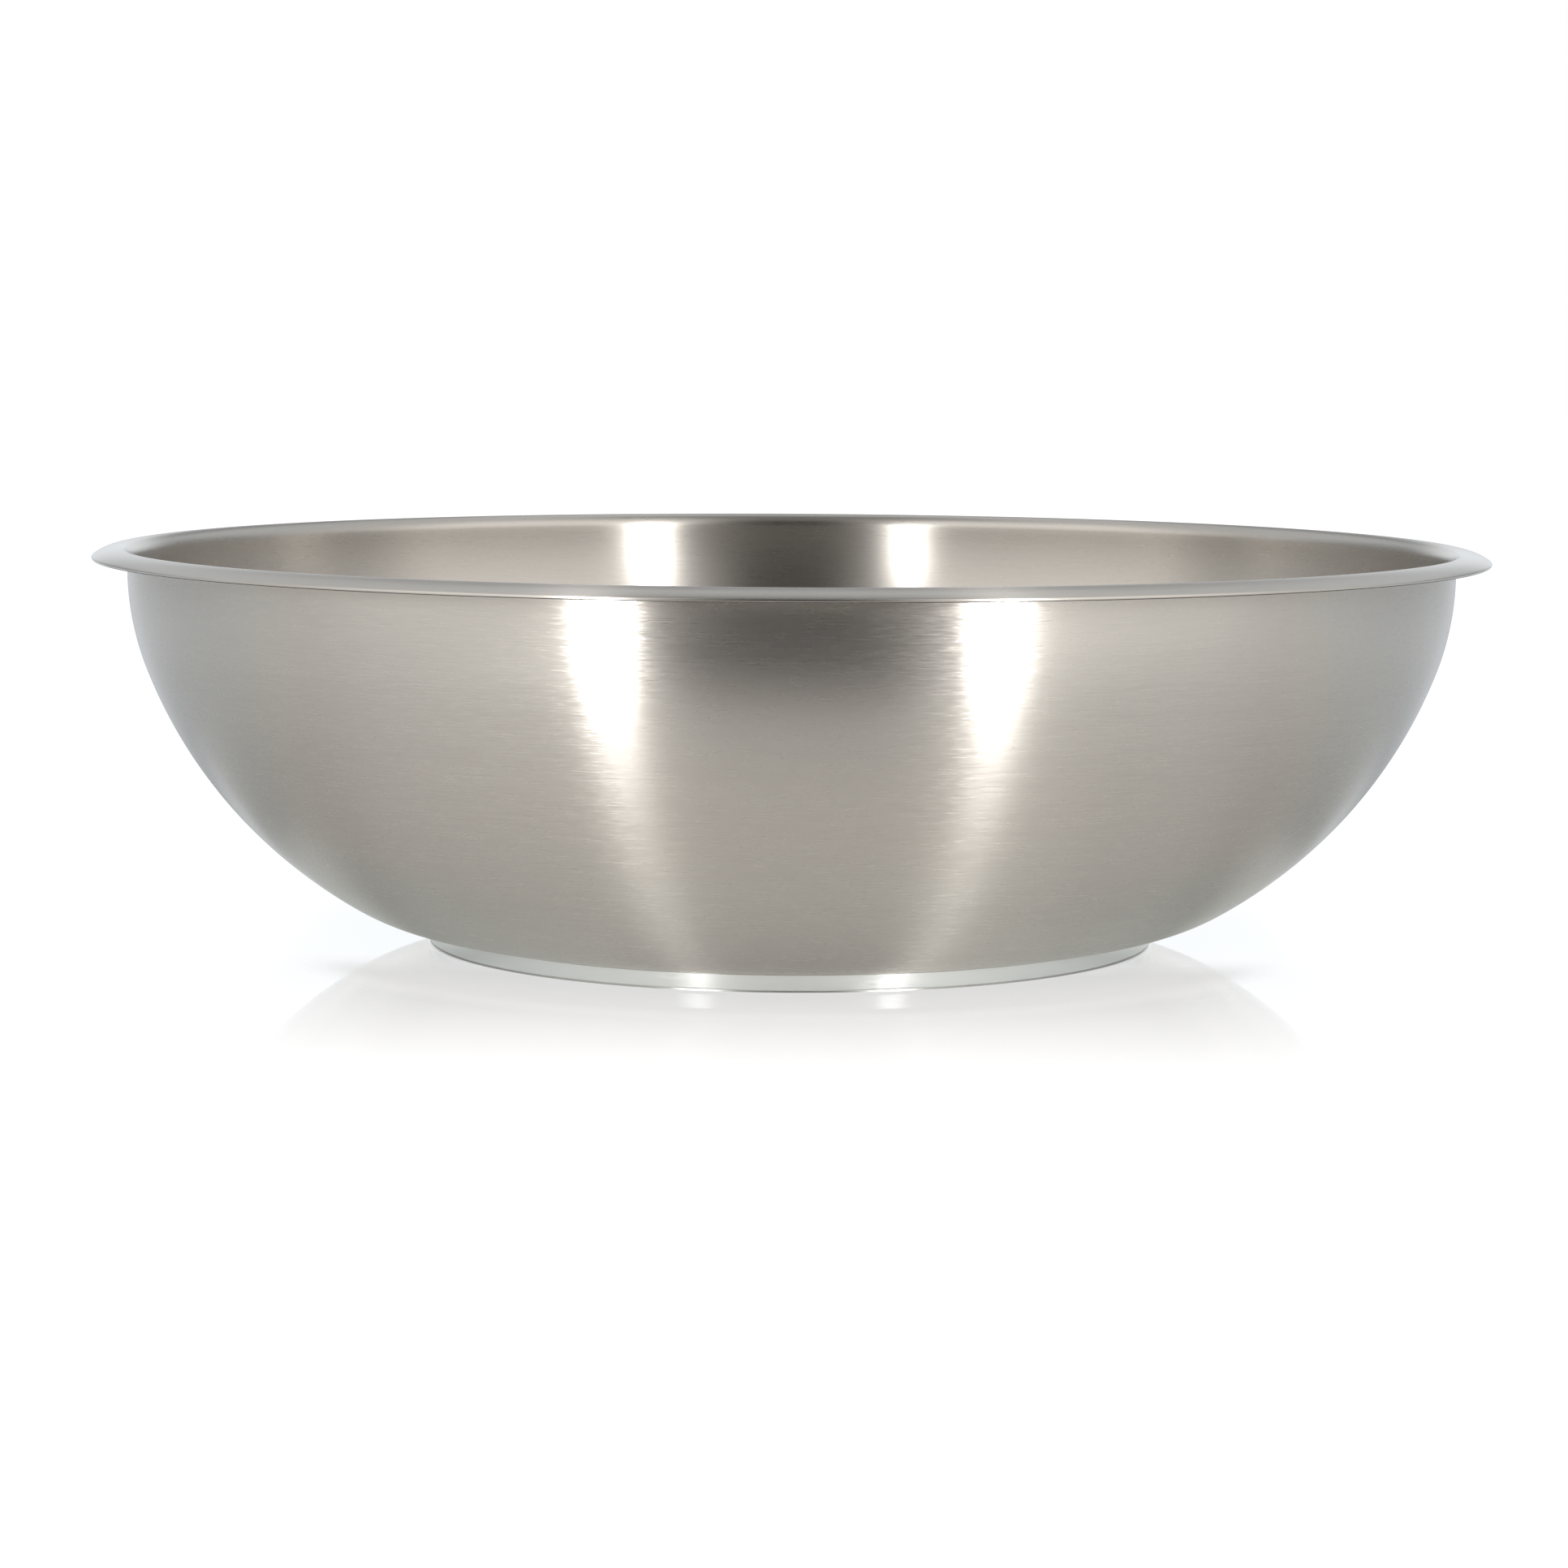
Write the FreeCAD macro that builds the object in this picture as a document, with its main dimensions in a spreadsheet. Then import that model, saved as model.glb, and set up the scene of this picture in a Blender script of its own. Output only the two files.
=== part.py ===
"""A wide, shallow stainless mixing bowl on a bonded heat-spreading base.

Three pieces share one vertical axis: a pressed sheet shell with an out-turned lip, an
aluminium disc pressed and bonded under its flat bottom, and a thin plate of magnetic steel
bonded under the disc. Millimetres, +Z up, origin on the axis at the underside of the plate.
"""
import FreeCAD, Part
import math
import os

import Sketcher

PARTS_FOLDER = "parts"

# Which point of a sketch curve a constraint holds.
START, END, CENTRE = range(1, 4)

# A sketch's own axes, numbered down from -1, and its origin, where the level one starts.
LEVEL_AXIS, UPRIGHT_AXIS = range(-1, -3, -1)
ORIGIN = (LEVEL_AXIS, START)

# Driving dimensions: lengths in millimetres, sweeps in degrees.
SIZES = (
    ("rim_diameter", 360.0, "across the outer edge of the lip"),
    ("lip_width", 9.0, "from the outside of the collar to the edge of the lip"),
    ("lip_bend_radius", 2.5, "inside radius where the collar turns out into the lip"),
    ("lip_fall_sweep", 37.0, "how far the lip turns down from level before its edge"),
    ("collar_height", 2.5, "upright stretch of wall under the lip"),
    ("shoulder_radius", 70.0, "outside radius of the wall just under the collar"),
    ("shoulder_sweep", 20.5, "turn of the shoulder"),
    ("side_radius", 119.5, "outside radius of the long sloping wall"),
    ("side_sweep", 39.0, "turn of the sloping wall"),
    ("foot_radius", 49.0, "outside radius where the wall meets the flat bottom"),
    ("sheet_gauge", 1.0, "thickness of the shell's sheet"),
    ("disc_gauge", 4.0, "thickness of the aluminium disc under the flat bottom"),
    ("disc_overhang", 4.1, "how far the disc reaches past the flat bottom"),
    ("disc_edge_break", 0.35, "bevel on the disc's two edges"),
    ("plate_gauge", 0.4, "thickness of the steel plate"),
    ("plate_inset", 0.3, "how far the plate's edge lies inside the disc's side"),
)


def make_sheet(doc):
    """Write the driving dimensions into a spreadsheet, one alias a row."""
    sheet = doc.addObject("Spreadsheet::Sheet", "Sizes")
    for row, (alias, value, meaning) in enumerate(SIZES, start=1):
        sheet.set(f"A{row}", alias)
        sheet.set(f"B{row}", str(value))
        sheet.set(f"C{row}", meaning)
        sheet.setAlias(f"B{row}", alias)
    doc.recompute()
    return sheet


def make_sketch(doc, label, name, plane_role):
    """Make a body with one sketch on one of its own origin planes.

    On the XZ plane the sketch's x is the radius and its y is the height.
    """
    body = doc.addObject("PartDesign::Body", label)
    body.Label = label
    sketch = body.newObject("Sketcher::SketchObject", name)
    plane = next(item for item in body.Origin.OriginFeatures if item.Role == plane_role)
    sketch.AttachmentSupport = [(plane, "")]
    sketch.MapMode = "FlatFace"
    return body, sketch


def drawn_size(sketch, kind, where):
    """Say what a dimension measures on the profile as it is drawn."""
    if kind == "Radius":
        return sketch.Geometry[where[0]].Radius
    if kind == "Angle":
        arc = sketch.Geometry[where[0]]
        return arc.LastParameter - arc.FirstParameter
    span = sketch.getPoint(where[2], where[3]) - sketch.getPoint(where[0], where[1])
    return span.x if kind == "DistanceX" else span.y


def hold(sketch, kind, where, name, expression):
    """Add a dimension under its own name and bind it to the spreadsheet."""
    size = drawn_size(sketch, kind, where)
    index = sketch.addConstraint(Sketcher.Constraint(kind, *where, size))
    sketch.renameConstraint(index, name)
    sketch.setExpression(f"Constraints.{name}", expression)


def read_off(sketch, kind, where, name):
    """Add a dimension that only reports, so that other pieces can follow it."""
    size = drawn_size(sketch, kind, where)
    index = sketch.addConstraint(Sketcher.Constraint(kind, *where, size))
    sketch.renameConstraint(index, name)
    sketch.setDriving(index, False)


def link(sketch, kind, *where):
    """Add a constraint that has no size."""
    sketch.addConstraint(Sketcher.Constraint(kind, *where))


class Path:
    """A profile drawn as a walk of straight runs and arcs, each tangent to the one before."""

    def __init__(self, sketch, x, y, heading):
        self.sketch = sketch
        self.x = x
        self.y = y
        self.heading = math.radians(heading)
        self.last = None

    def _add(self, geometry, start, end):
        index = self.sketch.addGeometry(geometry, False)
        if self.last is not None:
            link(self.sketch, "Tangent", *self.last, index, start)
        self.last = (index, end)
        return index

    def run(self, length):
        """Walk straight ahead."""
        start = FreeCAD.Vector(self.x, self.y, 0)
        self.x += length * math.cos(self.heading)
        self.y += length * math.sin(self.heading)
        return self._add(Part.LineSegment(start, FreeCAD.Vector(self.x, self.y, 0)), START, END)

    def turn(self, radius, sweep):
        """Walk round an arc: a positive sweep turns left, a negative one right."""
        side = math.copysign(1.0, sweep)
        swing = math.radians(sweep)
        centre_x = self.x - side * radius * math.sin(self.heading)
        centre_y = self.y + side * radius * math.cos(self.heading)
        begin = self.heading - side * math.pi / 2
        end = begin + swing
        self.x = centre_x + radius * math.cos(end)
        self.y = centre_y + radius * math.sin(end)
        self.heading += swing
        circle = Part.Circle(FreeCAD.Vector(centre_x, centre_y, 0), FreeCAD.Vector(0, 0, 1), radius)
        if side > 0:
            return self._add(Part.ArcOfCircle(circle, begin, end), START, END)
        return self._add(Part.ArcOfCircle(circle, end, begin), END, START)


def flat_radius(sheet):
    """Radius of the shell's flat bottom: the wall radius less the reach of its three arcs."""
    upper = math.radians(90.0 - sheet.shoulder_sweep)
    lower = math.radians(90.0 - sheet.shoulder_sweep - sheet.side_sweep)
    wall = sheet.rim_diameter / 2 - sheet.lip_width
    shoulder_reach = sheet.shoulder_radius * (1 - math.sin(upper))
    side_reach = sheet.side_radius * (math.sin(upper) - math.sin(lower))
    return wall - shoulder_reach - side_reach - sheet.foot_radius * math.sin(lower)


def revolve(body, sketch, name):
    """Turn a closed profile all the way round the vertical axis."""
    turned = body.newObject("PartDesign::Revolution", name)
    turned.Profile = sketch
    turned.ReferenceAxis = (sketch, ["V_Axis"])
    turned.Angle = 360.0
    sketch.Visibility = False
    body.Tip = turned


def draw_shell_profile(sketch, sheet):
    """Draw the sheet's section: out along the underside, over the lip, back down the inside."""
    gauge = sheet.sheet_gauge
    fall = sheet.lip_fall_sweep
    foot_sweep = 90.0 - sheet.shoulder_sweep - sheet.side_sweep
    bend = sheet.lip_bend_radius
    edge_reach = sheet.lip_width - bend - gauge / 2
    lip_radius = edge_reach / math.sin(math.radians(fall)) + gauge / 2

    path = Path(sketch, 0.0, sheet.plate_gauge + sheet.disc_gauge, 0.0)
    under_flat = path.run(flat_radius(sheet))
    foot = path.turn(sheet.foot_radius, foot_sweep)
    side = path.turn(sheet.side_radius, sheet.side_sweep)
    shoulder = path.turn(sheet.shoulder_radius, sheet.shoulder_sweep)
    collar = path.run(sheet.collar_height)
    bend_under = path.turn(bend, -90.0)
    lip_under = path.turn(lip_radius - gauge, -fall)
    edge = path.turn(gauge / 2, 180.0)
    lip_top = path.turn(lip_radius, fall)
    bend_top = path.turn(bend + gauge, 90.0)
    collar_in = path.run(sheet.collar_height)
    shoulder_in = path.turn(sheet.shoulder_radius - gauge, -sheet.shoulder_sweep)
    side_in = path.turn(sheet.side_radius - gauge, -sheet.side_sweep)
    foot_in = path.turn(sheet.foot_radius - gauge, -foot_sweep)
    floor_in = path.run(flat_radius(sheet))

    top = FreeCAD.Vector(path.x, path.y, 0)
    axis = sketch.addGeometry(Part.LineSegment(top, sketch.getPoint(under_flat, START)), False)
    link(sketch, "Coincident", floor_in, END, axis, START)
    link(sketch, "Coincident", axis, END, under_flat, START)
    link(sketch, "PointOnObject", axis, END, UPRIGHT_AXIS)
    link(sketch, "Vertical", axis)
    link(sketch, "Horizontal", under_flat)
    link(sketch, "Horizontal", floor_in)
    link(sketch, "Vertical", collar)
    link(sketch, "Vertical", collar_in)
    link(sketch, "Vertical", bend_under, CENTRE, lip_under, CENTRE)
    inner_and_outer = (
        (bend_top, bend_under),
        (lip_top, lip_under),
        (shoulder_in, shoulder),
        (side_in, side),
        (foot_in, foot),
    )
    for inner, outer in inner_and_outer:
        link(sketch, "Coincident", inner, CENTRE, outer, CENTRE)

    seat_height = "Sizes.plate_gauge + Sizes.disc_gauge"
    wall_radius = "Sizes.rim_diameter / 2 - Sizes.lip_width"
    edge_radius = "(Sizes.rim_diameter - Sizes.sheet_gauge) / 2"
    hold(sketch, "DistanceY", (*ORIGIN, under_flat, START), "seat_height", seat_height)
    hold(sketch, "DistanceY", (under_flat, START, floor_in, END), "floor_gauge", "Sizes.sheet_gauge")
    hold(sketch, "DistanceX", (*ORIGIN, collar, START), "wall_radius", wall_radius)
    hold(sketch, "DistanceX", (*ORIGIN, edge, CENTRE), "edge_radius", edge_radius)
    hold(sketch, "DistanceY", (collar, START, collar, END), "collar_height", "Sizes.collar_height")
    hold(sketch, "Radius", (foot,), "foot_radius", "Sizes.foot_radius")
    hold(sketch, "Radius", (side,), "side_radius", "Sizes.side_radius")
    hold(sketch, "Radius", (shoulder,), "shoulder_radius", "Sizes.shoulder_radius")
    hold(sketch, "Radius", (bend_under,), "bend_radius", "Sizes.lip_bend_radius")
    hold(sketch, "Angle", (side,), "side_sweep", "Sizes.side_sweep")
    hold(sketch, "Angle", (shoulder,), "shoulder_sweep", "Sizes.shoulder_sweep")
    hold(sketch, "Angle", (lip_under,), "lip_fall_sweep", "Sizes.lip_fall_sweep")
    read_off(sketch, "DistanceX", (under_flat, START, under_flat, END), "flat_radius")


def make_bowl_shell(doc, sheet):
    """Pressed sheet shell, one piece from the middle of its floor to the edge of its lip."""
    body, sketch = make_sketch(doc, "bowl_shell", "ShellProfile", "XZ_Plane")
    draw_shell_profile(sketch, sheet)
    revolve(body, sketch, "ShellRevolution")
    return body


def make_heat_disc(doc, sheet):
    """Aluminium disc: flat below, and pressed to the shell's flat bottom and foot curve above."""
    body, sketch = make_sketch(doc, "heat_disc", "DiscProfile", "XZ_Plane")
    flat = flat_radius(sheet)
    bevel = sheet.disc_edge_break
    radius = flat + sheet.disc_overhang
    low = sheet.plate_gauge
    seat = low + sheet.disc_gauge
    centre = FreeCAD.Vector(flat, seat + sheet.foot_radius, 0)
    rise = math.asin((radius - bevel - flat) / sheet.foot_radius)
    rim = centre.y - sheet.foot_radius * math.cos(rise)

    corners = (
        FreeCAD.Vector(0, seat, 0),
        FreeCAD.Vector(0, low, 0),
        FreeCAD.Vector(radius - bevel, low, 0),
        FreeCAD.Vector(radius, low + bevel, 0),
        FreeCAD.Vector(radius, rim - bevel, 0),
        FreeCAD.Vector(radius - bevel, rim, 0),
    )
    lines = [Part.LineSegment(first, last) for first, last in zip(corners, corners[1:])]
    axis, under, low_bevel, side, high_bevel = sketch.addGeometry(lines, False)
    circle = Part.Circle(centre, FreeCAD.Vector(0, 0, 1), sheet.foot_radius)
    foot = sketch.addGeometry(Part.ArcOfCircle(circle, -math.pi / 2, rise - math.pi / 2), False)
    top = sketch.addGeometry(Part.LineSegment(FreeCAD.Vector(flat, seat, 0), corners[0]), False)

    for before, after in ((axis, under), (under, low_bevel), (low_bevel, side), (side, high_bevel)):
        link(sketch, "Coincident", before, END, after, START)
    link(sketch, "Coincident", high_bevel, END, foot, END)
    link(sketch, "Tangent", foot, START, top, START)
    link(sketch, "Coincident", top, END, axis, START)
    link(sketch, "PointOnObject", axis, START, UPRIGHT_AXIS)
    link(sketch, "Vertical", axis)
    link(sketch, "Vertical", side)
    link(sketch, "Horizontal", under)
    link(sketch, "Horizontal", top)

    shell_flat = "ShellProfile.Constraints.flat_radius"
    disc_radius = f"{shell_flat} + Sizes.disc_overhang * 1 mm"
    hold(sketch, "DistanceY", (*ORIGIN, under, START), "plate_gauge", "Sizes.plate_gauge")
    hold(sketch, "DistanceY", (under, START, top, END), "disc_gauge", "Sizes.disc_gauge")
    hold(sketch, "DistanceX", (*ORIGIN, side, START), "disc_radius", disc_radius)
    hold(sketch, "DistanceX", (*ORIGIN, foot, CENTRE), "flat_radius", shell_flat)
    hold(sketch, "Radius", (foot,), "foot_radius", "Sizes.foot_radius")
    bevels = (("low_bevel", low_bevel, START, END), ("high_bevel", high_bevel, END, START))
    for name, bevel, inner, outer in bevels:
        hold(sketch, "DistanceX", (bevel, inner, bevel, outer), f"{name}_width", "Sizes.disc_edge_break")
        hold(sketch, "DistanceY", (bevel, START, bevel, END), f"{name}_height", "Sizes.disc_edge_break")
    revolve(body, sketch, "DiscRevolution")
    return body


def make_base_plate(doc, sheet):
    """Magnetic steel plate that the bowl stands on, a little smaller than the disc."""
    body, sketch = make_sketch(doc, "base_plate", "PlateOutline", "XY_Plane")
    radius = flat_radius(sheet) + sheet.disc_overhang - sheet.plate_inset
    circle = Part.Circle(FreeCAD.Vector(0, 0, 0), FreeCAD.Vector(0, 0, 1), radius)
    outline = sketch.addGeometry(circle, False)
    link(sketch, "Coincident", outline, CENTRE, *ORIGIN)
    plate_radius = "DiscProfile.Constraints.disc_radius - Sizes.plate_inset * 1 mm"
    hold(sketch, "Radius", (outline,), "plate_radius", plate_radius)
    pad = body.newObject("PartDesign::Pad", "PlatePad")
    pad.Profile = sketch
    pad.setExpression("Length", "Sizes.plate_gauge")
    sketch.Visibility = False
    body.Tip = pad
    return body


def check_document(doc):
    """Stop if any object failed to compute or any sketch is loose."""
    for item in doc.Objects:
        if "Invalid" in item.State or "Error" in item.State:
            raise RuntimeError(f"{item.Label} did not compute: {item.State}")
        if item.TypeId == "Sketcher::SketchObject" and item.solve() != 0:
            raise RuntimeError(f"{item.Label} does not solve")
        if item.TypeId == "Sketcher::SketchObject" and not item.FullyConstrained:
            raise RuntimeError(f"{item.Label} is not fully constrained")


def write_parts(bodies):
    """Write each piece to a STEP file named after it."""
    for body in bodies:
        if body.Shape.isNull() or not body.Shape.isValid():
            raise RuntimeError(f"{body.Label} has no valid shape")
    os.makedirs(PARTS_FOLDER, exist_ok=True)
    for body in bodies:
        body.Shape.exportStep(os.path.join(PARTS_FOLDER, f"{body.Label}.step"))
        box = body.Shape.optimalBoundingBox()
        print(f"{body.Label}: {len(body.Shape.Solids)} solid, {body.Shape.Volume:.1f} mm3,")
        print(f"    radius {box.XMax:.3f} mm, height {box.ZMin:.3f} to {box.ZMax:.3f} mm")


def main():
    """Build the bowl and write its pieces."""
    doc = FreeCAD.newDocument("MixingBowl")
    sheet = make_sheet(doc)
    makers = (make_bowl_shell, make_heat_disc, make_base_plate)
    bodies = []
    for make_piece in makers:
        bodies.append(make_piece(doc, sheet))
        doc.recompute()
    check_document(doc)
    write_parts(bodies)


main()
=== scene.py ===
"""Looks of the mixing bowl: brushed stainless shell, turned aluminium disc, steel base plate.

Everything is in metres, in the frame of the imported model: +Z up, the bowl's axis at x = y = 0,
the underside of the base plate at z = 0. The three metal pieces are bodies of revolution, so
each is turned from its section into a fine mesh that stands for the coarser packed one.
"""

import math

import bpy
from mathutils import Matrix, Vector


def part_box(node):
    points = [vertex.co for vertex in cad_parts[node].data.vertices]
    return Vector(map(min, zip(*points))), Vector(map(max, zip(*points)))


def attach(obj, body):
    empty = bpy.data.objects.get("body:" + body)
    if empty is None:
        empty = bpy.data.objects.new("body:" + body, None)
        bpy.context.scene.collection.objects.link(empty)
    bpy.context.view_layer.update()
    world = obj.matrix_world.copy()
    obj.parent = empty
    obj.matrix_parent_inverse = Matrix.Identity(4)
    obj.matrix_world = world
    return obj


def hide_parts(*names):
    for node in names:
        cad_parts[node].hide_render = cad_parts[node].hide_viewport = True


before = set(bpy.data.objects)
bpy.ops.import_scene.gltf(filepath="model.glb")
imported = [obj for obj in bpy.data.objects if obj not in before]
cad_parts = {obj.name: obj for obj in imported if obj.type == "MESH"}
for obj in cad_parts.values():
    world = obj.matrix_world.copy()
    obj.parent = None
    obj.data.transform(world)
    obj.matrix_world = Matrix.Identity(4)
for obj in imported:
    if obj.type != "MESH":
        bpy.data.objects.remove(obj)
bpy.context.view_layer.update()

MM = 0.001
QUARTER_TURN = math.pi / 2


# ---------------------------------------------------------------- driving dimensions

def top_of(node):
    """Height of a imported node's highest point."""
    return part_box(node)[1].z


def radius_of(node):
    """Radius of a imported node's widest point."""
    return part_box(node)[1].x


PLATE_TOP = top_of("base_plate")
PLATE_RADIUS = radius_of("base_plate")
DISC_RADIUS = radius_of("heat_disc")
RIM_RADIUS = radius_of("bowl_shell")
RIM_TOP = top_of("bowl_shell")
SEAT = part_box("bowl_shell")[0].z  # the shell's flat underside

# The section between those heights and radii, with the sizes that the CAD part has.
SHEET = 1.0 * MM
LIP_WIDTH = 9.0 * MM
LIP_BEND = 2.5 * MM
LIP_FALL = math.radians(37.0)
COLLAR = 2.5 * MM
SHOULDER_RADIUS = 70.0 * MM
SHOULDER_SWEEP = math.radians(20.5)
SIDE_RADIUS = 119.5 * MM
SIDE_SWEEP = math.radians(39.0)
FOOT_RADIUS = 49.0 * MM
FOOT_SWEEP = QUARTER_TURN - SHOULDER_SWEEP - SIDE_SWEEP
DISC_BEVEL = 0.35 * MM
WALL_RADIUS = RIM_RADIUS - LIP_WIDTH


def flat_radius():
    """Radius of the shell's flat bottom, from the reach of the wall's three arcs."""
    upper = QUARTER_TURN - SHOULDER_SWEEP
    reach = SHOULDER_RADIUS * (1 - math.sin(upper))
    reach += SIDE_RADIUS * (math.sin(upper) - math.sin(FOOT_SWEEP))
    reach += FOOT_RADIUS * math.sin(FOOT_SWEEP)
    return WALL_RADIUS - reach


FLAT_RADIUS = flat_radius()


# ---------------------------------------------------------------- turned meshes

# Mesh steps round the axis, and along each run and arc of a section.
AROUND = 384
FLAT_STEPS = 12
FOOT_STEPS = 20
SIDE_STEPS = 34
SHOULDER_STEPS = 16
COLLAR_STEPS = 2
BEND_STEPS = 10
LIP_UNDER_STEPS = 8
EDGE_STEPS = 6
LIP_STEPS = 10
LIP_BEND_STEPS = 4
INNER_BEND_STEPS = 8
DISC_RISE_STEPS = 4

LIP_FINISH_SWEEP = QUARTER_TURN / 3  # this much of the bend's inside is finished with the lip
SHARP_EDGE = math.radians(30.0)  # faces that meet at more than this keep a sharp edge

# Places in the shell's list of materials.
OUTSIDE_FINISH, EDGE_SHADE_FINISH, LIP_FINISH, INSIDE_FINISH = range(4)


class Section:
    """The section of a turned piece, walked as straight runs and tangent arcs."""

    def __init__(self, radius, height):
        self.points = [(radius, height)]
        self.heading = 0.0
        self.finish = OUTSIDE_FINISH  # also the only one, where a piece has one material
        self.finishes = []

    def add(self, radius, height):
        """Add a point, and note which finish the stretch up to it has."""
        self.points.append((radius, height))
        self.finishes.append(self.finish)

    def run(self, length, steps):
        """Walk straight ahead in equal steps."""
        radius, height = self.points[-1]
        for step in range(1, steps + 1):
            walked = length * step / steps
            across = walked * math.cos(self.heading)
            up = walked * math.sin(self.heading)
            self.add(radius + across, height + up)

    def turn(self, arc_radius, sweep, steps):
        """Walk round an arc in equal steps: a positive sweep turns left."""
        side = math.copysign(1.0, sweep)
        radius, height = self.points[-1]
        middle = (
            radius - side * arc_radius * math.sin(self.heading),
            height + side * arc_radius * math.cos(self.heading),
        )
        begin = self.heading - side * QUARTER_TURN
        for step in range(1, steps + 1):
            angle = begin + sweep * step / steps
            across = arc_radius * math.cos(angle)
            up = arc_radius * math.sin(angle)
            self.add(middle[0] + across, middle[1] + up)
        self.heading += sweep


def shell_section():
    """Section of the sheet shell: out along the underside, over the lip, back down the inside."""
    lip_reach = LIP_WIDTH - LIP_BEND - SHEET / 2
    lip_radius = lip_reach / math.sin(LIP_FALL) + SHEET / 2
    section = Section(0.0, SEAT)
    section.run(FLAT_RADIUS, FLAT_STEPS)
    section.turn(FOOT_RADIUS, FOOT_SWEEP, FOOT_STEPS)
    section.turn(SIDE_RADIUS, SIDE_SWEEP, SIDE_STEPS)
    section.turn(SHOULDER_RADIUS, SHOULDER_SWEEP, SHOULDER_STEPS)
    section.run(COLLAR, COLLAR_STEPS)
    section.turn(LIP_BEND, -QUARTER_TURN, BEND_STEPS)
    section.turn(lip_radius - SHEET, -LIP_FALL, LIP_UNDER_STEPS)
    # The downward quarter of the rolled edge is painted dark, as shade under the lip.
    section.finish = EDGE_SHADE_FINISH
    section.turn(SHEET / 2, QUARTER_TURN, EDGE_STEPS)
    section.finish = LIP_FINISH
    section.turn(SHEET / 2, QUARTER_TURN, EDGE_STEPS)
    section.turn(lip_radius, LIP_FALL, LIP_STEPS)
    section.turn(LIP_BEND + SHEET, LIP_FINISH_SWEEP, LIP_BEND_STEPS)
    section.finish = INSIDE_FINISH
    section.turn(LIP_BEND + SHEET, QUARTER_TURN - LIP_FINISH_SWEEP, INNER_BEND_STEPS)
    section.run(COLLAR, COLLAR_STEPS)
    section.turn(SHOULDER_RADIUS - SHEET, -SHOULDER_SWEEP, SHOULDER_STEPS)
    section.turn(SIDE_RADIUS - SHEET, -SIDE_SWEEP, SIDE_STEPS)
    section.turn(FOOT_RADIUS - SHEET, -FOOT_SWEEP, FOOT_STEPS)
    section.run(FLAT_RADIUS, FLAT_STEPS)
    return section


def disc_section():
    """Section of the aluminium disc: flat below, bevelled side, top pressed to the shell's foot."""
    rise = math.asin((DISC_RADIUS - DISC_BEVEL - FLAT_RADIUS) / FOOT_RADIUS)
    shoulder = SEAT + FOOT_RADIUS * (1 - math.cos(rise))
    section = Section(0.0, PLATE_TOP)
    section.run(DISC_RADIUS - DISC_BEVEL, FLAT_STEPS)
    section.add(DISC_RADIUS, PLATE_TOP + DISC_BEVEL)
    section.add(DISC_RADIUS, shoulder - DISC_BEVEL)
    section.add(DISC_RADIUS - DISC_BEVEL, shoulder)
    section.heading = math.pi + rise
    section.turn(FOOT_RADIUS, -rise, DISC_RISE_STEPS)
    section.run(FLAT_RADIUS, FLAT_STEPS)
    return section


def plate_section():
    """Section of the thin steel plate under the disc."""
    section = Section(0.0, 0.0)
    section.run(PLATE_RADIUS, FLAT_STEPS)
    section.add(PLATE_RADIUS, PLATE_TOP)
    section.heading = math.pi
    section.run(PLATE_RADIUS, FLAT_STEPS)
    return section


def turned(name, section):
    """Turn a section that starts and ends on the axis into a closed mesh."""
    inner = section.points[1:-1]
    verts = [(0.0, 0.0, section.points[0][1]), (0.0, 0.0, section.points[-1][1])]
    for radius, height in inner:
        for step in range(AROUND):
            angle = 2 * math.pi * step / AROUND
            verts.append((radius * math.cos(angle), radius * math.sin(angle), height))
    rings = [2 + AROUND * ring for ring in range(len(inner))]
    faces = []
    finishes = []
    for step in range(AROUND):
        after = (step + 1) % AROUND
        faces.append((0, rings[0] + after, rings[0] + step))
        for low, high in zip(rings, rings[1:]):
            faces.append((low + step, low + after, high + after, high + step))
        faces.append((1, rings[-1] + step, rings[-1] + after))
        finishes.extend(section.finishes)
    mesh = bpy.data.meshes.new(name)
    mesh.from_pydata(verts, [], faces)
    mesh.polygons.foreach_set("material_index", finishes)
    mesh.update()
    mesh.shade_smooth()
    mesh.set_sharp_from_angle(angle=SHARP_EDGE)
    piece = bpy.data.objects.new(name, mesh)
    bpy.context.scene.collection.objects.link(piece)
    return piece


# ---------------------------------------------------------------- materials

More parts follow.
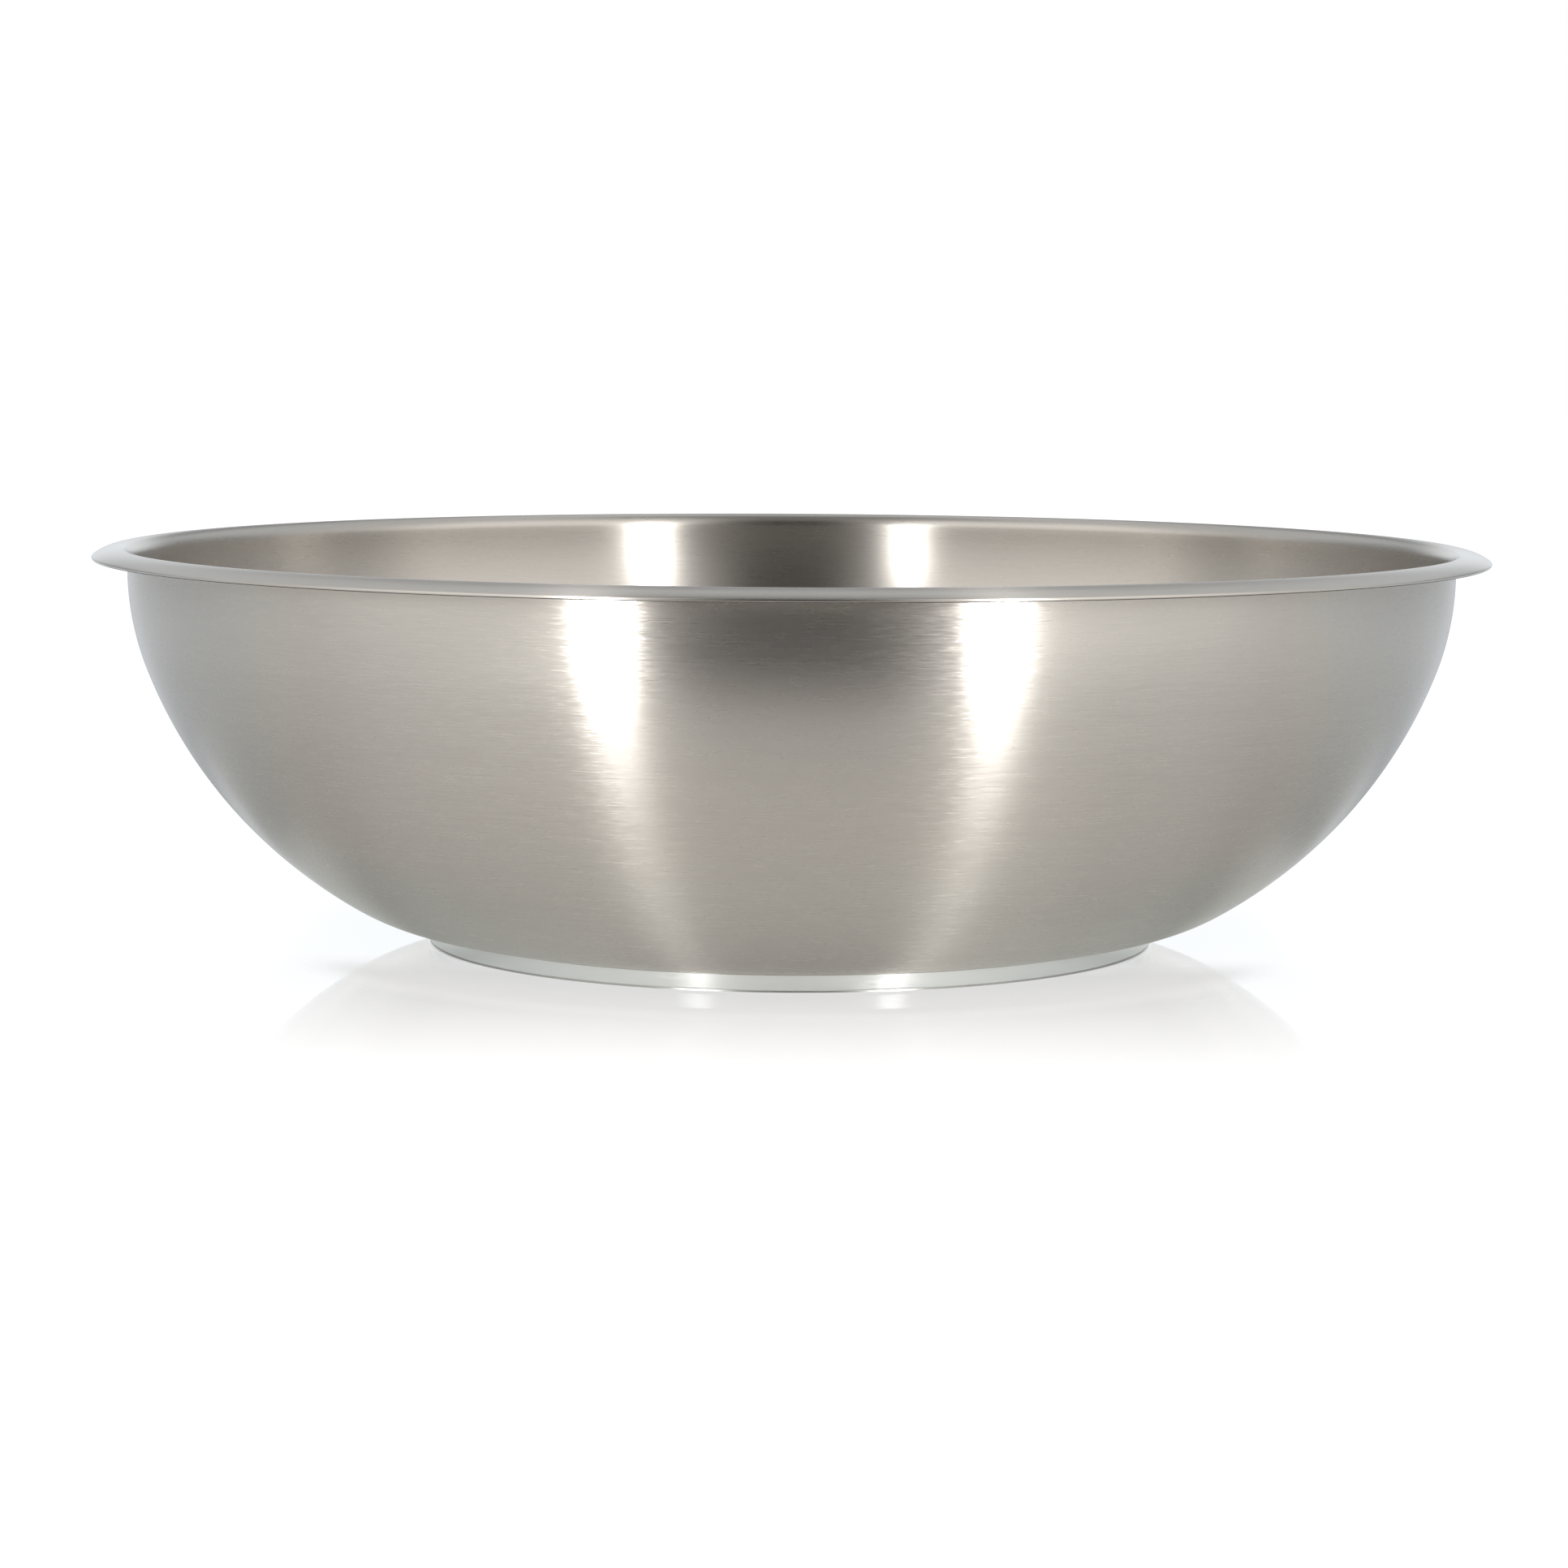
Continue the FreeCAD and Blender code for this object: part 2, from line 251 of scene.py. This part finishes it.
class Nodes:
    """A node tree under construction, with short calls for the nodes that repeat."""

    def __init__(self, tree):
        self.tree = tree
        tree.nodes.clear()

    def add(self, kind, inputs=None, **settings):
        """Add a node, set its properties, and set or link its inputs by name or number."""
        node = self.tree.nodes.new(kind)
        for name, value in settings.items():
            setattr(node, name, value)
        for name, value in (inputs or {}).items():
            self.feed(node.inputs[name], value)
        return node

    def feed(self, socket, value):
        """Link an output into a socket, or set the socket to a plain value."""
        if isinstance(value, bpy.types.NodeSocket):
            self.tree.links.new(value, socket)
        else:
            socket.default_value = value

    def math(self, operation, first, second=0.0, third=0.0):
        """A Math node's result."""
        node = self.add("ShaderNodeMath", {0: first, 1: second, 2: third}, operation=operation)
        return node.outputs[0]

    def product(self, first, second):
        """One number times another."""
        return self.math("MULTIPLY", first, second)

    def total(self, first, second):
        """One number plus another."""
        return self.math("ADD", first, second)

    def vector(self, operation, inputs):
        """A Vector Math node's result, which is a number for LENGTH and a vector otherwise."""
        node = self.add("ShaderNodeVectorMath", inputs, operation=operation)
        return node.outputs["Value" if operation == "LENGTH" else "Vector"]

    def blend(self, share, first, second):
        """Mix of two numbers, which the Mix node takes as inputs 2 and 3."""
        node = self.add("ShaderNodeMix", {0: share, 2: first, 3: second}, data_type="FLOAT")
        return node.outputs[0]

    def colours(self, share, first, second):
        """Mix of two colours, which the Mix node takes as inputs 6 and 7."""
        node = self.add("ShaderNodeMix", {0: share, 6: first, 7: second}, data_type="RGBA")
        return node.outputs[2]

    def ramp(self, value, from_low, from_high, to_low=0.0, to_high=1.0, smooth=True):
        """A value mapped from one range to another, held at the ends."""
        node = self.add(
            "ShaderNodeMapRange",
            {"Value": value, 1: from_low, 2: from_high, 3: to_low, 4: to_high},
            interpolation_type="SMOOTHSTEP" if smooth else "LINEAR",
        )
        return node.outputs[0]

    def bump(self, height, depth):
        """The surface's normal, roughened by a height that is `depth` metres deep."""
        node = self.add("ShaderNodeBump", {"Strength": 1.0, "Distance": depth, "Height": height})
        return node.outputs[0]

    def place(self):
        """The point's x, y and z, and its x and y as a vector."""
        point = self.add("ShaderNodeTexCoord").outputs["Object"]
        x, y, z = self.add("ShaderNodeSeparateXYZ", {0: point}).outputs
        flat = self.add("ShaderNodeCombineXYZ", {0: x, 1: y}).outputs[0]
        return x, y, z, flat


class TurnedGrain:
    """Brush marks that run round the axis: long round it, fine along the section."""

    def __init__(self, nodes):
        self.nodes = nodes
        x, y, self.z, flat = nodes.place()
        self.radius = nodes.vector("LENGTH", {0: flat})
        unit = nodes.vector("NORMALIZE", {0: flat})
        around = nodes.add("ShaderNodeSeparateXYZ", {0: unit})
        self.cosine, self.sine = around.outputs[0], around.outputs[1]

    def marks(self, angle, width, seed, detail=2.0):
        """Noise from 0 to 1 with cells `angle` radians long round the axis and `width` wide."""
        nodes = self.nodes
        cell = nodes.add("ShaderNodeCombineXYZ", {
            0: nodes.math("MULTIPLY_ADD", self.cosine, 1 / angle, seed),
            1: nodes.product(self.sine, 1 / angle),
            2: nodes.product(self.z, 1 / width),
        })
        outward = nodes.product(self.radius, 1 / width)
        noise = nodes.add(
            "ShaderNodeTexNoise",
            {"Vector": cell.outputs[0], "W": outward, "Scale": 1.0, "Detail": detail},
            noise_dimensions="4D",
        )
        return noise.outputs[0]


def metal(name, build):
    """A metallic material whose shader's inputs `build` returns."""
    material = bpy.data.materials.new(name)
    material.use_nodes = True
    nodes = Nodes(material.node_tree)
    shader = nodes.add("ShaderNodeBsdfPrincipled", {"Metallic": 1.0})
    for socket, value in build(nodes).items():
        nodes.feed(shader.inputs[socket], value)
    nodes.add("ShaderNodeOutputMaterial", {"Surface": shader.outputs[0]})
    return material


def round_tangent(nodes):
    """Tangent that runs round the bowl's axis."""
    return nodes.add("ShaderNodeTangent", direction_type="RADIAL", axis="Z").outputs[0]


def swung_normal(nodes, normal, streaks, swing):
    """A normal swung along the brush marks by up to `swing`, differently on each streak."""
    amount = nodes.product(nodes.math("SUBTRACT", streaks, 0.5), 2.0 * swing)
    push = nodes.vector("SCALE", {0: round_tangent(nodes), "Scale": amount})
    moved = nodes.vector("ADD", {0: normal, 1: push})
    return nodes.vector("NORMALIZE", {0: moved})


ACROSS_GRAIN = 0.25  # quarter turn: the highlight spreads across the brush marks
GRAIN_LEAN = 0.003  # the belt that brushed the shell climbed a little, in turns

STEEL_WARMTH = (1.0, 0.945, 0.868)  # red, green and blue of a steel of level 1
BAND_SHARE = 0.3  # how much the slow bands count in the steel's tone, beside the fine marks
TONE_MARKS = (0.75, 1.55)  # marks at which the steel has its darker and its lighter tone
ROUGHNESS_MARKS = (0.7, 1.3)  # marks at which it has its lower and its higher roughness
SECOND_ROUGHNESS = 0.46  # of the inside, for rays that come from other metal


def steel_tone(level):
    """The warm grey of stainless steel at a level, as a colour with full alpha."""
    return tuple(level * part for part in STEEL_WARMTH) + (1.0,)


def brushed_steel(nodes, tones, roughness, stretch, bump_depth=0.0, swing=0.0):
    """Inputs of satin stainless steel that is brushed round the axis."""
    grain = TurnedGrain(nodes)
    lines = grain.marks(angle=0.07, width=0.28 * MM, seed=11.0)
    streaks = grain.marks(angle=0.022, width=0.26 * MM, seed=3.0)
    bands = grain.marks(angle=0.9, width=5.0 * MM, seed=29.0)
    fine = nodes.total(lines, streaks)
    tone = nodes.math("MULTIPLY_ADD", bands, BAND_SHARE, fine)
    share = nodes.ramp(tone, *TONE_MARKS)
    inputs = {
        "Base Color": nodes.colours(share, steel_tone(tones[0]), steel_tone(tones[1])),
        "Roughness": nodes.ramp(fine, *ROUGHNESS_MARKS, *roughness, smooth=False),
        "Anisotropic": stretch,
        "Anisotropic Rotation": ACROSS_GRAIN + GRAIN_LEAN,
        "Tangent": round_tangent(nodes),
    }
    if bump_depth:
        height = nodes.product(fine, 0.5)  # the mean of the two kinds of mark
        normal = nodes.bump(height, bump_depth)
        inputs["Normal"] = swung_normal(nodes, normal, streaks, swing)
    return inputs


def outside_steel(nodes):
    """Stainless steel of the shell's outside, with a sharp grain."""
    return brushed_steel(
        nodes, tones=(0.60, 0.66), roughness=(0.24, 0.28), stretch=1.0,
        bump_depth=0.005 * MM, swing=0.03,
    )


def inside_steel_painted_shade(nodes):
    """Stainless steel of the shell's inside, with a softer grain and tones a little darker than the
    outside's, which is painted shade.

    It is rougher to rays that come from other metal, which keeps the second reflections of
    the lamps inside the bowl faint.
    """
    # The darker tones are painted shade for the inside of the bowl.
    inputs = brushed_steel(nodes, tones=(0.59, 0.63), roughness=(0.272, 0.284), stretch=0.96)
    seen_in_metal = nodes.add("ShaderNodeLightPath").outputs["Is Glossy Ray"]
    inputs["Roughness"] = nodes.blend(seen_in_metal, inputs["Roughness"], SECOND_ROUGHNESS)
    return inputs


def lip_steel_painted_light(nodes):
    """Stainless steel of the rolled lip, with hardly any grain, and tones a little lighter than the
    outside's, which is painted light.
    """
    # The lighter tones are painted light on the lip; the finer grain and roughness are the lip's
    # own.
    return brushed_steel(
        nodes, tones=(0.63, 0.67), roughness=(0.25, 0.26), stretch=1.0,
        bump_depth=0.001 * MM,
    )


# Darker and lighter tone of the other metals, and as ramps their roughness by their marks.
# The edge's two tones are painted shade: far darker than steel, they stand for the shadow line
# under the lip.
EDGE_SHADE_TONES = ((0.07, 0.066, 0.062, 1.0), (0.14, 0.133, 0.125, 1.0))
EDGE_ROUGHNESS = (0.3, 0.7, 0.38, 0.50)
DISC_TONES = ((0.90, 0.91, 0.89, 1.0), (0.97, 0.98, 0.96, 1.0))
DISC_ROUGHNESS = (0.35, 0.65, 0.15, 0.19)
PLATE_TONES = ((0.50, 0.485, 0.465, 1.0), (0.56, 0.545, 0.525, 1.0))
PLATE_ROUGHNESS = (0.3, 0.7, 0.28, 0.38)
PLATE_LINE_SHARE = 0.5  # how deep its fine lines are, beside its rings


def edge_steel_painted_shade(nodes):
    """Stainless steel of the cut edge under the lip, matt, and much darker than the sheet: the
    darkness is painted shade for the shadow line under the lip.
    """
    nicks = TurnedGrain(nodes).marks(angle=0.02, width=0.3 * MM, seed=37.0)
    return {
        "Base Color": nodes.colours(nicks, *EDGE_SHADE_TONES),
        "Roughness": nodes.ramp(nicks, *EDGE_ROUGHNESS, smooth=False),
        "Normal": nodes.bump(nicks, 0.01 * MM),
    }


def disc_aluminium(nodes):
    """Aluminium with the fine rings that turning leaves."""
    grain = TurnedGrain(nodes)
    rings = grain.marks(angle=0.5, width=0.22 * MM, seed=5.0)
    streaks = grain.marks(angle=0.03, width=0.2 * MM, seed=17.0, detail=1.0)
    normal = nodes.bump(rings, 0.005 * MM)
    return {
        "Metallic": 0.9,
        "Base Color": nodes.colours(rings, *DISC_TONES),
        "Roughness": nodes.ramp(streaks, *DISC_ROUGHNESS, smooth=False),
        "Anisotropic": 0.2,
        "Anisotropic Rotation": ACROSS_GRAIN,
        "Tangent": round_tangent(nodes),
        "Normal": swung_normal(nodes, normal, streaks, swing=0.03),
    }


def plate_steel(nodes):
    """Magnetic stainless steel, finished in fine concentric rings."""
    grain = TurnedGrain(nodes)
    rings = grain.marks(angle=0.8, width=0.3 * MM, seed=7.0)
    lines = grain.marks(angle=0.1, width=1.2 * MM, seed=19.0, detail=3.0)
    height = nodes.math("MULTIPLY_ADD", lines, PLATE_LINE_SHARE, rings)
    return {
        "Base Color": nodes.colours(lines, *PLATE_TONES),
        "Roughness": nodes.ramp(lines, *PLATE_ROUGHNESS, smooth=False),
        "Anisotropic": 0.9,
        "Anisotropic Rotation": ACROSS_GRAIN,
        "Tangent": round_tangent(nodes),
        "Normal": nodes.bump(height, 0.008 * MM),
    }


# ---------------------------------------------------------------- pieces

SHELL_METALS = (outside_steel, edge_steel_painted_shade, lip_steel_painted_light, inside_steel_painted_shade)  # in the order of the finishes

# Each piece: its name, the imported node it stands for, its slot, its section and its materials.
PIECES = (
    ("shell_sheet", "bowl_shell", "shell_steel", shell_section, SHELL_METALS),
    ("disc_turned", "heat_disc", "disc_aluminium", disc_section, (disc_aluminium,)),
    ("plate_turned", "base_plate", "plate_steel", plate_section, (plate_steel,)),
)
for piece_name, node_name, slot_name, draw_section, metals in PIECES:
    piece = turned(piece_name, draw_section())
    for build_metal in metals:
        piece.data.materials.append(metal(build_metal.__name__, build_metal))
    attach(piece, "root")
    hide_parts(node_name)


# ---------------------------------------------------------------- studio

WHITE = (1.0, 1.0, 1.0, 1.0)
WARM_LIGHT = (1.0, 0.99, 0.98, 1.0)  # the studio before the bowl, as the metal reflects it
COOL_LIGHT = (0.90, 0.94, 0.985, 1.0)  # the studio behind the bowl
LOW_LIGHT = (0.94, 0.985, 0.985, 1.0)  # the floor close to the disc


def bearings(first, last, low=0.0, high=1.0):
    """A ramp from low to high between two bearings, given in degrees from straight ahead."""
    return math.radians(first), math.radians(last), low, high


# Every ramp below is given as: where it starts and ends, and its value there. Distances are
# in metres, out from the axis where nothing else is said.

# The floor as the camera sees it: its size in metres, its lightness and its own glow.
FLOOR_SIZE = 12.0
FLOOR_DROP = 0.02 * MM  # the floor lies this far below the plate, so their faces don't mix
FLOOR_LIGHTNESS = 0.25  # of the surface, under the studio's light
FLOOR_GLOW = 0.90  # light of its own, before the bowl
FLOOR_GLOW_BEHIND = 0.97
BEFORE_BOWL = (-0.07, -0.03, 1.0, 0.0)  # along y
CONTACT = (0.121, 0.140, 1.0, 0.0)  # the floor close to the disc, in the bowl's shadow
# Close to the disc the floor's glow to the camera is lowered: a painted shadow of the bowl.
CONTACT_SHADOW_GLOW = 0.57
CONTACT_REFLECTION = 0.01  # share of the floor that is a mirror there

# The bowl's reflection in it, which fades outwards and ends at the left and right.
REFLECTION = (0.07, 0.235, 0.58, 0.0)
REFLECTION_STRETCH = 0.5  # it fades half as fast to the left and right as to the front
REFLECTION_SIDES = (0.12, 0.15, 1.0, 0.0)  # from x = 0
REFLECTION_BLUR = 0.03

# The floor as the metal sees it: lightness, glow and gloss.
LIGHTNESS_IN_METAL = (0.25, 0.60, 0.43, 0.72)
GLOW_IN_METAL = (0.13, 0.24, 0.20, 0.25)
MIRROR_IN_METAL = 0.01
MIRROR_IN_METAL_BLUR = 0.15

# The pool of light round the bowl, 1 in front: what each bearing adds to it or takes away.
POOL_NEAR = (0.18, 0.28, 1.0, 0.0)  # how far out the next three count, darker and lighter
POOL_BESIDE = bearings(50.0, 70.0, 0.0, -0.12)
POOL_BESIDE_END = bearings(85.0, 100.0, 1.0, 0.0)
POOL_BEHIND = bearings(95.0, 115.0, 0.0, 0.55)
POOL_UNDER = (0.14, 0.17, 1.0, 0.0)  # the floor under the wall, lighter at the sides
POOL_UNDER_SIDES = bearings(62.0, 84.0, 0.0, 0.50)
POOL_FOOT = (0.108, 0.128, 1.0, 0.0)  # the floor by the disc, lighter away from the middle
POOL_FOOT_SIDES = bearings(15.0, 28.0, 0.0, 0.18)
POOL_RIGHT = bearings(12.0, 24.0, 0.0, 0.08)  # a light wedge in front, to the right only
POOL_RIGHT_END = bearings(28.0, 42.0, 1.0, 0.0)

# A dark aisle runs through the pool in front, where the camera stands.
AISLE_START = (0.06, 0.17, 0.0, 1.0)  # from the bowl's wall
AISLE_WIDTH = (0.35, 0.90, 1.0, 0.0)  # to each side, as a share of the way from the wall
AISLE_DARKNESS = (0.45, 0.80, 0.97, 0.45)  # from the bowl's wall

# The tint of the floor in the metal: cool behind, and the low light near the disc and at the
# sides, where it grows with the bearing.
TINT_BEHIND = (-0.06, 0.16, 0.0, 1.0)  # along y
TINT_LOW = (0.13, 0.16, 1.0, 0.0)
TINT_LOW_FRONT = bearings(0.0, 60.0, 0.35, 1.0)
TINT_LOW_SIDES = bearings(70.0, 95.0, 0.0, 0.8)


class FloorPlace:
    """Where a point of the floor lies, seen from the bowl's axis."""

    def __init__(self, nodes):
        self.x, self.y, _, self.flat = nodes.place()
        self.radius = nodes.vector("LENGTH", {0: self.flat})
        self.ahead = nodes.product(self.y, -1.0)
        self.turn = nodes.math("ARCTAN2", self.x, self.ahead)
        self.bearing = nodes.math("ABSOLUTE", self.turn)
        self.before = nodes.ramp(self.y, *BEFORE_BOWL)
        self.contact = nodes.product(self.before, nodes.ramp(self.radius, *CONTACT))


def reflection_share(nodes, floor):
    """How much of the floor is a mirror to the camera."""
    oval = nodes.vector("MULTIPLY", {0: floor.flat, 1: (REFLECTION_STRETCH, 1.0, 1.0)})
    fading = nodes.ramp(nodes.vector("LENGTH", {0: oval}), *REFLECTION, smooth=False)
    sides = nodes.ramp(nodes.math("ABSOLUTE", floor.x), *REFLECTION_SIDES)
    return nodes.blend(floor.contact, nodes.product(fading, sides), CONTACT_REFLECTION)


def open_floor(nodes, floor):
    """1 on the open floor, and less in the dark aisle in front."""
    beyond = nodes.math("SUBTRACT", floor.ahead, WALL_RADIUS)
    aside = nodes.math("ABSOLUTE", floor.x)
    slant = nodes.math("DIVIDE", aside, nodes.math("MAXIMUM", beyond, MM))
    aisle = nodes.product(nodes.ramp(beyond, *AISLE_START), nodes.ramp(slant, *AISLE_WIDTH))
    darkness = nodes.product(aisle, nodes.ramp(beyond, *AISLE_DARKNESS))
    return nodes.math("SUBTRACT", 1.0, darkness)


def pool_of_light(nodes, floor):
    """How bright the floor is to the metal, round the bowl."""
    near = nodes.ramp(floor.radius, *POOL_NEAR)
    beside = nodes.product(
        nodes.ramp(floor.bearing, *POOL_BESIDE),
        nodes.ramp(floor.bearing, *POOL_BESIDE_END),
    )
    behind = nodes.ramp(floor.bearing, *POOL_BEHIND)
    sides = nodes.math("MULTIPLY_ADD", near, nodes.total(beside, behind), 1.0)
    under = nodes.product(
        nodes.ramp(floor.radius, *POOL_UNDER),
        nodes.ramp(floor.bearing, *POOL_UNDER_SIDES),
    )
    foot = nodes.product(
        nodes.ramp(floor.radius, *POOL_FOOT),
        nodes.ramp(floor.bearing, *POOL_FOOT_SIDES),
    )
    right = nodes.product(
        nodes.ramp(floor.turn, *POOL_RIGHT),
        nodes.ramp(floor.turn, *POOL_RIGHT_END),
    )
    pool = nodes.total(nodes.total(sides, under), nodes.total(foot, right))
    return nodes.product(pool, open_floor(nodes, floor))


def floor_tint(nodes, floor, camera_ray):
    """White to the camera; to the metal, warm in front and cool behind and by the disc."""
    low_light = nodes.math(
        "MULTIPLY_ADD",
        nodes.ramp(floor.radius, *TINT_LOW),
        nodes.ramp(floor.bearing, *TINT_LOW_FRONT),
        nodes.ramp(floor.bearing, *TINT_LOW_SIDES),
    )
    near_side = nodes.colours(low_light, WARM_LIGHT, LOW_LIGHT)
    in_metal = nodes.colours(nodes.ramp(floor.y, *TINT_BEHIND), near_side, COOL_LIGHT)
    return nodes.colours(camera_ray, in_metal, WHITE)


def pale_floor(nodes, floor, path):
    """The floor without its gloss: partly lit by the lamps and partly glowing."""
    camera_ray = path["Is Camera Ray"]
    pool = pool_of_light(nodes, floor)
    tint = floor_tint(nodes, floor, camera_ray)

    in_metal = nodes.product(pool, nodes.ramp(floor.radius, *LIGHTNESS_IN_METAL))
    lightness = nodes.blend(camera_ray, in_metal, FLOOR_LIGHTNESS)
    shade = nodes.vector("SCALE", {0: tint, "Scale": lightness})
    lit = nodes.add("ShaderNodeBsdfDiffuse", {"Color": shade}).outputs[0]

    glow_in_metal = nodes.product(pool, nodes.ramp(floor.radius, *GLOW_IN_METAL))
    to_metal = nodes.product(path["Is Glossy Ray"], glow_in_metal)
    glow_to_camera = nodes.blend(floor.before, FLOOR_GLOW_BEHIND, FLOOR_GLOW)
    # Painted shadow: less glow close to the disc.
    glow_to_camera = nodes.blend(floor.contact, glow_to_camera, CONTACT_SHADOW_GLOW)
    to_camera = nodes.product(camera_ray, glow_to_camera)
    strength = nodes.total(to_camera, to_metal)
    glow = nodes.add("ShaderNodeEmission", {"Color": tint, "Strength": strength}).outputs[0]
    return nodes.add("ShaderNodeAddShader", {0: lit, 1: glow}).outputs[0]


def floor_material():
    """Pale glossy floor with the bowl's shadow, partly cast by the lamps and partly painted close
    to the disc, and a fading reflection, clear from below.
    """
    material = bpy.data.materials.new("floor")
    material.use_nodes = True
    nodes = Nodes(material.node_tree)
    floor = FloorPlace(nodes)
    path = nodes.add("ShaderNodeLightPath").outputs
    camera_ray = path["Is Camera Ray"]
    blur = nodes.blend(camera_ray, MIRROR_IN_METAL_BLUR, REFLECTION_BLUR)
    mirror = nodes.add("ShaderNodeBsdfGlossy", {"Color": WHITE, "Roughness": blur}).outputs[0]
    share = nodes.blend(camera_ray, MIRROR_IN_METAL, reflection_share(nodes, floor))
    pale = pale_floor(nodes, floor, path)
    above = nodes.add("ShaderNodeMixShader", {0: share, 1: pale, 2: mirror}).outputs[0]
    from_below = nodes.add("ShaderNodeNewGeometry").outputs["Backfacing"]
    clear = nodes.add("ShaderNodeBsdfTransparent").outputs[0]
    surface = nodes.add("ShaderNodeMixShader", {0: from_below, 1: above, 2: clear})
    nodes.add("ShaderNodeOutputMaterial", {"Surface": surface.outputs[0]})
    return material


def make_floor():
    """Lay the floor just under the bowl."""
    half = FLOOR_SIZE / 2
    corners = [(-half, -half), (half, -half), (half, half), (-half, half)]
    mesh = bpy.data.meshes.new("floor")
    mesh.from_pydata([(x, y, -FLOOR_DROP) for x, y in corners], [], [(0, 1, 2, 3)])
    mesh.materials.append(floor_material())
    floor = bpy.data.objects.new("floor", mesh)
    bpy.context.scene.collection.objects.link(floor)


make_floor()


# ---------------------------------------------------------------- light

# Each lamp: its name, its place, its width and height in metres, and its radiance.
SOFTBOXES = (
    ("softbox_left", (-0.222, -0.465, 0.10), 0.052, 0.19, 33.5),
    ("softbox_right", (0.371, -0.650, 0.12), 0.071, 0.23, 53.0),
)


def make_softbox(name, place, width, height, radiance):
    """A tall soft lamp that stands in front of the bowl and faces its axis."""
    data = bpy.data.lights.new(name, "AREA")
    data.shape = "RECTANGLE"
    data.size = width
    data.size_y = height
    data.energy = radiance * math.pi * width * height
    lamp = bpy.data.objects.new(name, data)
    lamp.location = place
    aim = Vector((0.0, 0.0, place[2])) - Vector(place)
    lamp.rotation_euler = aim.to_track_quat("-Z", "Y").to_euler()
    lamp.visible_camera = False
    bpy.context.scene.collection.objects.link(lamp)


for softbox in SOFTBOXES:
    make_softbox(*softbox)

# The studio as the metal sees it. Heights are the upward part of the direction, from 0 to 1.
WALL_FRONT = bearings(5.0, 36.0, 0.04, 0.97)
WALL_SIDE = bearings(68.0, 95.0)
WALL_BESIDE = bearings(95.0, 130.0, 0.60, 0.30)
WALL_RAISED = (0.0, 0.2, 1.0, 1.25)  # by height
WALL_BACK = bearings(145.0, 170.0)
WALL_BACK_LEVEL = 0.97
CEILING_ASIDE = bearings(80.0, 120.0)
CEILING_FRONT_LEVEL = 0.45
CEILING_BACK = bearings(150.0, 174.0, 0.70, 1.0)
CEILING_FLAG = bearings(158.0, 172.0, 0.72, 0.25)
CEILING_FLAG_HEIGHT = (0.60, 0.75, 0.0, 1.0)
CEILING_HIGH = (0.7, 0.95, 0.0, 1.0)  # by height, in front
CEILING_LOW = (0.2, 0.4, 0.0, 1.0)  # by height, at the sides and behind
ZENITH = (0.93, 0.975, 0.0, 1.0)  # by height
ZENITH_LEVEL = 0.15
COOL_SIDE = bearings(86.0, 132.0)


def studio_level(nodes, bearing, height):
    """How bright the studio's walls and ceiling are in a direction."""
    front = nodes.ramp(bearing, *WALL_FRONT)
    beside = nodes.ramp(bearing, *WALL_BESIDE)
    around = nodes.blend(nodes.ramp(bearing, *WALL_SIDE), front, beside)
    around = nodes.product(nodes.ramp(height, *WALL_RAISED), around)
    wall = nodes.blend(nodes.ramp(bearing, *WALL_BACK), around, WALL_BACK_LEVEL)

    aside = nodes.ramp(bearing, *CEILING_ASIDE)
    ring = nodes.blend(aside, CEILING_FRONT_LEVEL, nodes.ramp(bearing, *CEILING_BACK))
    flag = nodes.ramp(bearing, *CEILING_FLAG)
    ceiling = nodes.blend(nodes.ramp(height, *CEILING_FLAG_HEIGHT), flag, ring)

    high = nodes.ramp(height, *CEILING_HIGH)
    low = nodes.ramp(height, *CEILING_LOW)
    level = nodes.blend(nodes.blend(aside, high, low), wall, ceiling)
    return nodes.blend(nodes.ramp(height, *ZENITH), level, ZENITH_LEVEL)


def make_world():
    """White to the camera; to the metal, a grey studio, dark in front and white behind."""
    world = bpy.data.worlds.new("studio")
    bpy.context.scene.world = world
    world.use_nodes = True
    nodes = Nodes(world.node_tree)
    direction = nodes.add("ShaderNodeTexCoord").outputs["Generated"]
    x, y, height = nodes.add("ShaderNodeSeparateXYZ", {0: direction}).outputs
    turn = nodes.math("ARCTAN2", x, nodes.product(y, -1.0))
    bearing = nodes.math("ABSOLUTE", turn)
    camera_ray = nodes.add("ShaderNodeLightPath").outputs["Is Camera Ray"]
    strength = nodes.blend(camera_ray, studio_level(nodes, bearing, height), 1.0)
    tint = nodes.colours(nodes.ramp(bearing, *COOL_SIDE), WARM_LIGHT, COOL_LIGHT)
    colour = nodes.colours(camera_ray, tint, WHITE)
    sky = nodes.add("ShaderNodeBackground", {"Color": colour, "Strength": strength})
    nodes.add("ShaderNodeOutputWorld", {"Surface": sky.outputs[0]})


make_world()


# ---------------------------------------------------------------- camera

CAMERA_DISTANCE = 1.1003  # from the axis, in metres
CAMERA_HEIGHT = RIM_TOP + 59.3 * MM
CAMERA_PITCH = 0.1104  # downwards; this and the next two are in radians
CAMERA_YAW = 0.0015
CAMERA_ROLL = 0.0055
CAMERA_LENS = 97.03  # in millimetres
CAMERA_SENSOR = 36.0  # width in millimetres


def make_camera():
    """Set the camera up in front of the bowl, a little above its rim."""
    data = bpy.data.cameras.new("camera")
    data.sensor_width = CAMERA_SENSOR
    data.lens = CAMERA_LENS
    camera = bpy.data.objects.new("camera", data)
    bpy.context.scene.collection.objects.link(camera)
    place = Matrix.Translation((0.0, -CAMERA_DISTANCE, CAMERA_HEIGHT))
    yaw = Matrix.Rotation(CAMERA_YAW, 4, "Z")
    pitch = Matrix.Rotation(QUARTER_TURN - CAMERA_PITCH, 4, "X")
    roll = Matrix.Rotation(CAMERA_ROLL, 4, "Z")
    camera.matrix_world = place @ yaw @ pitch @ roll
    bpy.context.scene.camera = camera


make_camera()
bpy.context.scene.view_settings.view_transform = "Standard"
